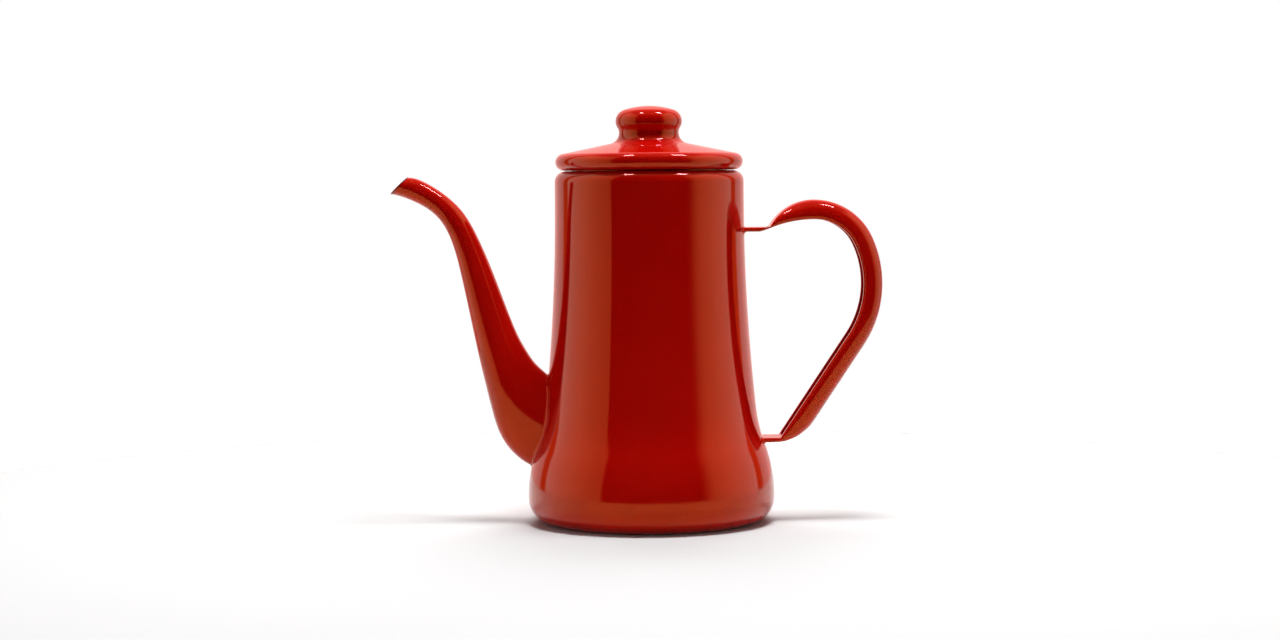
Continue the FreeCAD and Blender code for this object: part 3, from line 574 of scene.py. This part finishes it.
RIM_RADIUS, RIM_INSET, RIM_STEPS = 0.42 * MM, 0.38 * MM, 72
SIDEWAYS = Vector((0, 1, 0))
rim_middle = tip_middle - tip_normal * RIM_INSET
rim = []
for i in range(RIM_STEPS):
    angle = math.tau * i / RIM_STEPS
    way = SIDEWAYS * math.cos(angle) + tip_normal.cross(SIDEWAYS) * math.sin(angle)
    hit, normal, _, _ = bore.ray_cast(rim_middle + way * ACROSS, -way)
    normal = (normal - tip_normal * normal.dot(tip_normal)).normalized()
    rim.append(hit - normal * RIM_INSET)
ring_tube("spout_rim", rim, RIM_RADIUS, ground)


# ---------------------------------------------------------------- floor, lights and camera

FLOOR_RADIUS, FLOOR_SIDES = 0.42, 96
PAPER = (0.62, 0.635, 0.635, 1)
disc = bmesh.new()
bmesh.ops.create_circle(disc, cap_ends=True, segments=FLOOR_SIDES, radius=FLOOR_RADIUS)
floor = bpy.data.objects.new("floor", bpy.data.meshes.new("floor"))
disc.to_mesh(floor.data)
disc.free()
bpy.context.scene.collection.objects.link(floor)
paper = bpy.data.materials.new("paper")
net = Nodes(paper)
sheet = net.add("ShaderNodeBsdfPrincipled", {"Base Color": PAPER, "Roughness": 0.9,
                                             "Specular IOR Level": 0.1})
net.add("ShaderNodeOutputMaterial", {"Surface": sheet.outputs["BSDF"]})
floor.data.materials.append(paper)

# The studio round the pot, by direction: turn goes from 0 at the frame's -Y side to 180 degrees at +Y.
PANEL, BACKDROP = (1.55, 1.17, 1.15), (1.15, 0.68, 0.64)
CEILING, GAP = (0.2, 0.2, 0.2), (1.0, 0.16, 0.03)
PANEL_START, CRISP_END, SOFT_END, PANEL_SHARE = 46, 49, 64, 0.55
RAMP_START, RAMP_END, RAMP_SHARE = 50, 84, 0.45
GAP_START, GAP_FULL, GAP_FADE, GAP_END = 116, 119, 127, 130
CEILING_START, WALL_END = 58, 48
DIFFUSE_SHARE = 0.15      # of the studio's glow that lights matt surfaces; the soft boxes give the rest
world = bpy.data.worlds.new("studio")
bpy.context.scene.world = world
net = Nodes(world)
split = net.add("ShaderNodeSeparateXYZ", {0: net.add("ShaderNodeTexCoord").outputs["Generated"]})
x, y, z = split.outputs
degree = 180 / math.pi
angle = net.maths("ARCTAN2", net.maths("ABSOLUTE", x), net.maths("MULTIPLY", y, -1.0))
turn = net.maths("MULTIPLY", angle, degree)
height = net.maths("MULTIPLY", net.maths("ARCSINE", z), degree)
crisp = net.maths("MULTIPLY", net.ramp(turn, PANEL_START, CRISP_END, 0, PANEL_SHARE),
                  net.maths("LESS_THAN", x, 0.0))
soft = net.maths("MULTIPLY", net.ramp(turn, PANEL_START, SOFT_END, 0, PANEL_SHARE),
                 net.maths("GREATER_THAN", x, 0.0))
front = net.maths("ADD", net.maths("ADD", crisp, soft),
                  net.ramp(turn, RAMP_START, RAMP_END, 0, RAMP_SHARE, smooth=False))
low = net.ramp(height, CEILING_START, WALL_END)
glow = net.blend(low, CEILING, (0, 0, 0))
for share, colour in (
    (net.maths("MULTIPLY", front, net.ramp(turn, GAP_FULL, GAP_START)), PANEL),
    (net.maths("MULTIPLY", net.ramp(turn, GAP_START, GAP_FULL), net.ramp(turn, GAP_END, GAP_FADE)), GAP),
    (net.ramp(turn, GAP_FADE, GAP_END), BACKDROP),
):
    part = net.add("ShaderNodeVectorMath", {0: colour, "Scale": net.maths("MULTIPLY", share, low)},
                   operation="SCALE").outputs[0]
    glow = net.add("ShaderNodeVectorMath", {0: glow, 1: part}, operation="ADD").outputs[0]
path = net.add("ShaderNodeLightPath").outputs
strength = net.ramp(path["Is Diffuse Ray"], 0, 1, 1, DIFFUSE_SHARE, smooth=False)
glow = net.add("ShaderNodeVectorMath", {0: glow, "Scale": strength}, operation="SCALE").outputs[0]
white = net.add("ShaderNodeMix", {0: path["Is Camera Ray"], 6: glow, 7: (1, 1, 1, 1)},
                data_type="RGBA").outputs[2]
sky = net.add("ShaderNodeBackground", {"Color": white})
net.add("ShaderNodeOutputWorld", {"Surface": sky.outputs[0]})


def area_light(name, way, distance, width, depth, power, aim):
    """A soft box seen from aim along way; its width runs from left to right."""
    lamp = bpy.data.objects.new(name, bpy.data.lights.new(name, "AREA"))
    lamp.data.shape = "RECTANGLE"
    lamp.data.size = width
    lamp.data.size_y = depth
    lamp.data.energy = power
    way = way.normalized()
    side = Vector((0, 1, 0)).cross(way).normalized()
    lamp.matrix_world = Matrix.Translation(aim + way * distance) @ Matrix(
        (side, way.cross(side), way)).transposed().to_4x4()
    bpy.context.scene.collection.objects.link(lamp)
    return lamp


NEAR_LID = Vector((0, 0, 0.17))
LAMP_COLOUR = (0.6, 0.42, 1.0)     # evens out the glaze's warm gloss, so that highlights are near white
# Each light: its name, direction from what it is aimed at, distance, width, depth, watts and aim.
LAMPS = (
    ("lamp_left", Vector((-0.26, -0.14, 0.955)), 0.9, 0.12, 0.05, 3.0, NEAR_LID),
    ("lamp_right", Vector((0.37, -0.08, 0.92)), 0.9, 0.2, 0.05, 5.0, NEAR_LID),
)
FILLS = (
    ("fill_behind", Vector((0, 0.8, 1)), 1.6, 1.3, 1.3, 25.7, Vector()),
    ("fill_top", Vector((0.1, -0.1, 1)), 0.9, 0.3, 0.3, 11.9, NEAR_LID),
    ("fill_front", Vector((0, -1, 0.4)), 1.5, 1.2, 0.8, 3.3, Vector()),
)
for settings in LAMPS:     # seen in the gloss only
    lamp = area_light(*settings)
    lamp.visible_diffuse = False
    lamp.data.color = LAMP_COLOUR
for settings in FILLS:     # matt light only
    area_light(*settings).visible_glossy = False

DISTANCE, STAND, OFF_AXIS, AIM_HEIGHT, ROLL_ANGLE = 1.15, 0.158, -0.00475, 0.0941, 0.45
SENSOR, LENS, NEAREST = 36, 69.5, 0.01
camera = bpy.data.objects.new("camera", bpy.data.cameras.new("camera"))
bpy.context.scene.collection.objects.link(camera)
bpy.context.scene.camera = camera
camera.data.sensor_width = SENSOR
camera.data.lens = LENS
camera.data.clip_start = NEAREST
camera.location = (OFF_AXIS, -DISTANCE, STAND)
gaze = Vector((0, DISTANCE, AIM_HEIGHT - STAND))
turned = gaze.to_track_quat("-Z", "Y").to_matrix() @ Matrix.Rotation(math.radians(-ROLL_ANGLE), 3, "Z")
camera.rotation_euler = turned.to_euler()
bpy.context.scene.view_settings.view_transform = "Standard"
